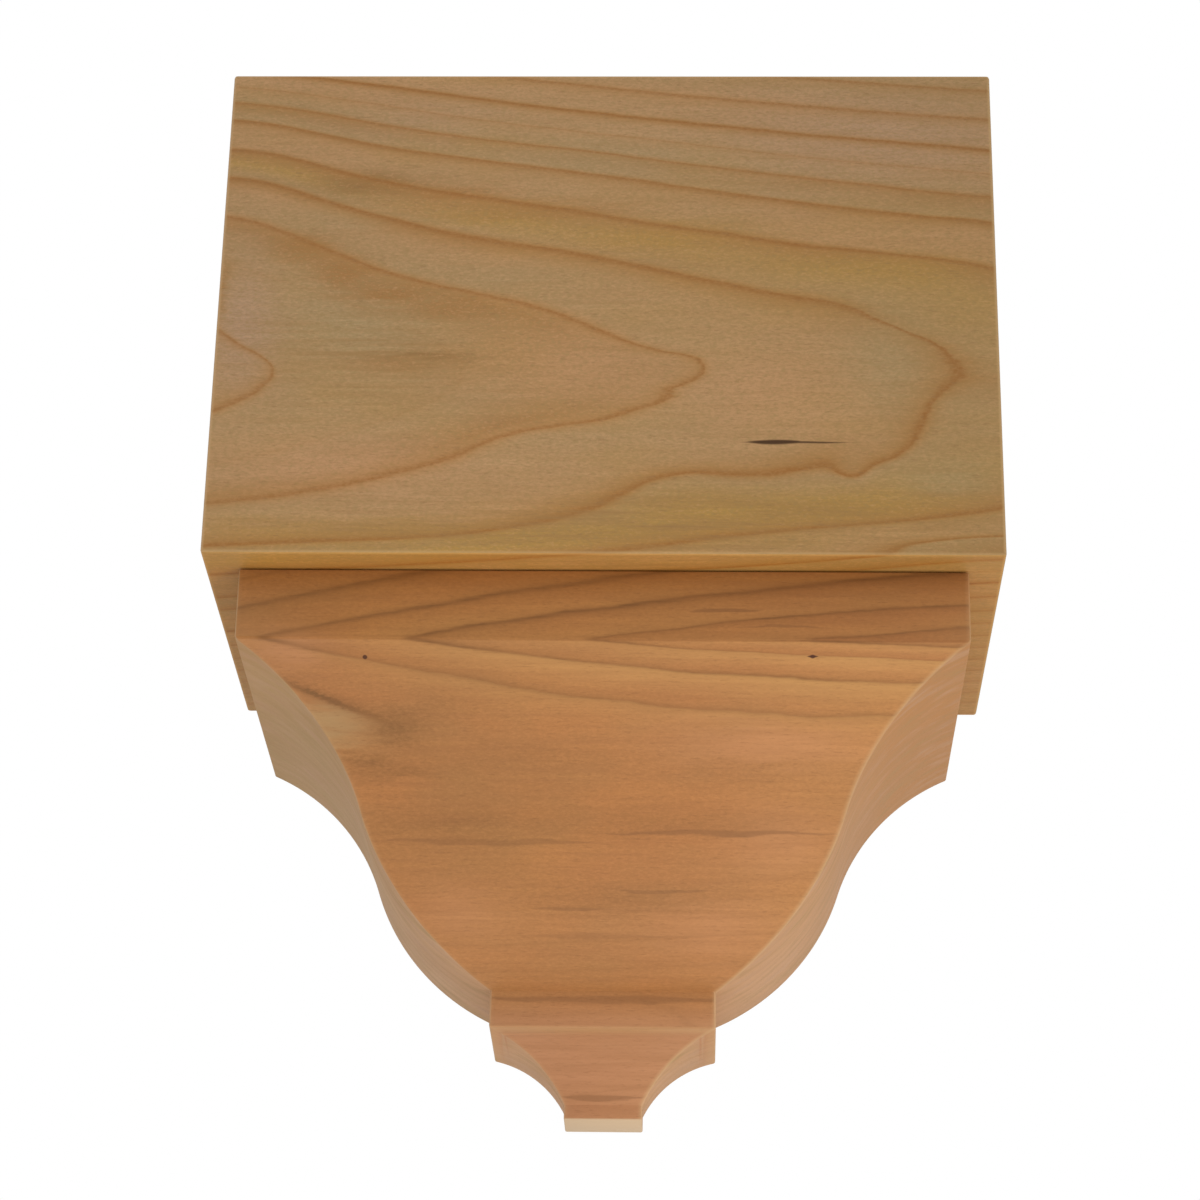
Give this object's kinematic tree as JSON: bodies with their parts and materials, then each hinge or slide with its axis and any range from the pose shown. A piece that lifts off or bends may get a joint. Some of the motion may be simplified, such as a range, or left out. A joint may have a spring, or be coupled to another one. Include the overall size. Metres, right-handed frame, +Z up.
{
  "type": "moulding corner block",
  "caption": "Solid wood moulding block: a plain rectangular head over a drop moulded on its front and ends, tapering to a small foot, with a flat back for the wall.",
  "frame": {"origin": "middle of the head block's flat back face, where it lies against the wall", "axes": "+Z up, along the block's longest side, +Y into the wall, -Y towards the room, +X to the right seen from the room"},
  "size_m": [0.133, 0.0675, 0.1721],
  "materials": {
    "head_wood": "bare sanded cherry, pale, matte",
    "drop_wood": "bare sanded cherry, reddish, matte"
  },
  "bodies": {
    "root": {"head_block": "head_wood", "profiled_drop": "drop_wood"}
  },
  "joints": []
}
